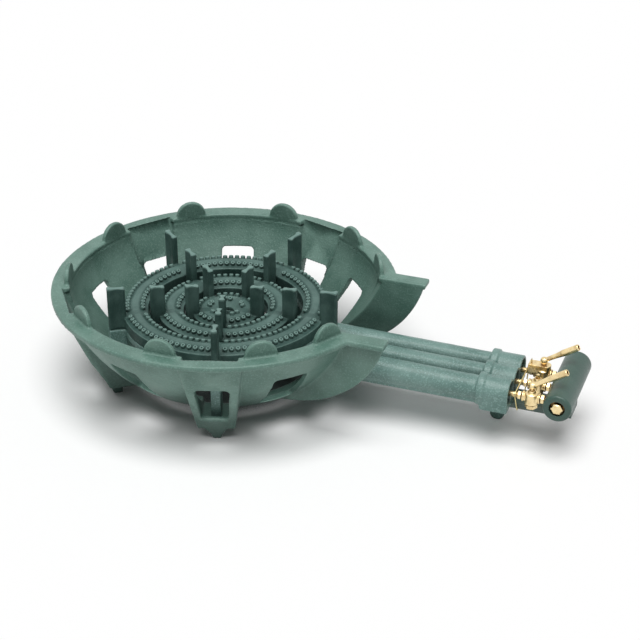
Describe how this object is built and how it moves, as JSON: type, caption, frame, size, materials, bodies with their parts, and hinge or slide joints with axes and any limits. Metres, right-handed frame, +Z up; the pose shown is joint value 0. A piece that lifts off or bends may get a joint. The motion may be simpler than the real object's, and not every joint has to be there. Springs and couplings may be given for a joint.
{
  "type": "cast iron gas burner",
  "caption": "Cast iron gas burner: concentric studded ring heads with pot prongs in a legged bowl stand, fed through mixing tubes by brass cocks on a cross manifold.",
  "frame": {"origin": "on the floor, under the middle of the overall box", "axes": "+X along the mixing tubes towards the valves, +Z up, the near valve on the -Y side"},
  "size_m": [0.6687, 0.43, 0.158],
  "materials": {
    "stand_green": "satin green paint over sand-cast iron",
    "burner_green": "satin green paint over sand-cast iron",
    "ring_green": "satin green paint over sand-cast iron",
    "bracket_green": "satin green paint",
    "manifold_dark": "semi-gloss dark green paint",
    "brass": "machined",
    "wire_brass": "drawn",
    "bolt_steel": "zinc plated",
    "spring_steel": "drawn"
  },
  "bodies": {
    "stand": {"stand": "stand_green"},
    "burner": {"burner_base": "burner_green", "outer_ring_head": "ring_green", "middle_ring_head": "ring_green", "inner_ring_head": "ring_green", "ring_head_bolts": "bolt_steel", "manifold": "manifold_dark", "manifold_plug": "brass", "manifold_bracket": "bracket_green", "bracket_bolts": "bolt_steel", "manifold_screws": "bolt_steel", "tie_wire": "wire_brass", "near_cock_body": "brass", "near_cock_cap": "brass", "near_cock_spring": "spring_steel", "near_jet": "brass", "near_inlet_nipple": "brass", "middle_cock_body": "brass", "middle_cock_cap": "brass", "middle_cock_spring": "spring_steel", "middle_jet": "brass", "middle_inlet_nipple": "brass", "far_cock_body": "brass", "far_cock_cap": "brass", "far_cock_spring": "spring_steel", "far_jet": "brass", "far_inlet_nipple": "brass", "far_bleed_screw": "bolt_steel"},
    "near_lever": {"near_cock_plug": "brass", "near_lever": "brass", "near_lever_pin": "bolt_steel"},
    "middle_spindle": {"middle_cock_plug": "brass"},
    "far_lever": {"far_cock_plug": "brass", "far_lever": "brass", "far_lever_pin": "bolt_steel"}
  },
  "joints": [
    {"name": "burner_lift", "type": "slide", "parent": "stand", "child": "burner", "axis": [0, 0, 1], "range_m": [0, 0.135]},
    {"name": "near_lever_turn", "type": "hinge", "parent": "burner", "child": "near_lever", "pos_m": [0.28263, -0.0293, 0.0695], "axis": [0, 0, -1], "range_deg": [0, 90]},
    {"name": "middle_spindle_turn", "type": "hinge", "parent": "burner", "child": "middle_spindle", "pos_m": [0.28263, 0, 0.0695], "axis": [0, 0, 1], "range_deg": [0, 90]},
    {"name": "far_lever_turn", "type": "hinge", "parent": "burner", "child": "far_lever", "pos_m": [0.28263, 0.0293, 0.0695], "axis": [0, 0, 1], "range_deg": [0, 90]}
  ]
}
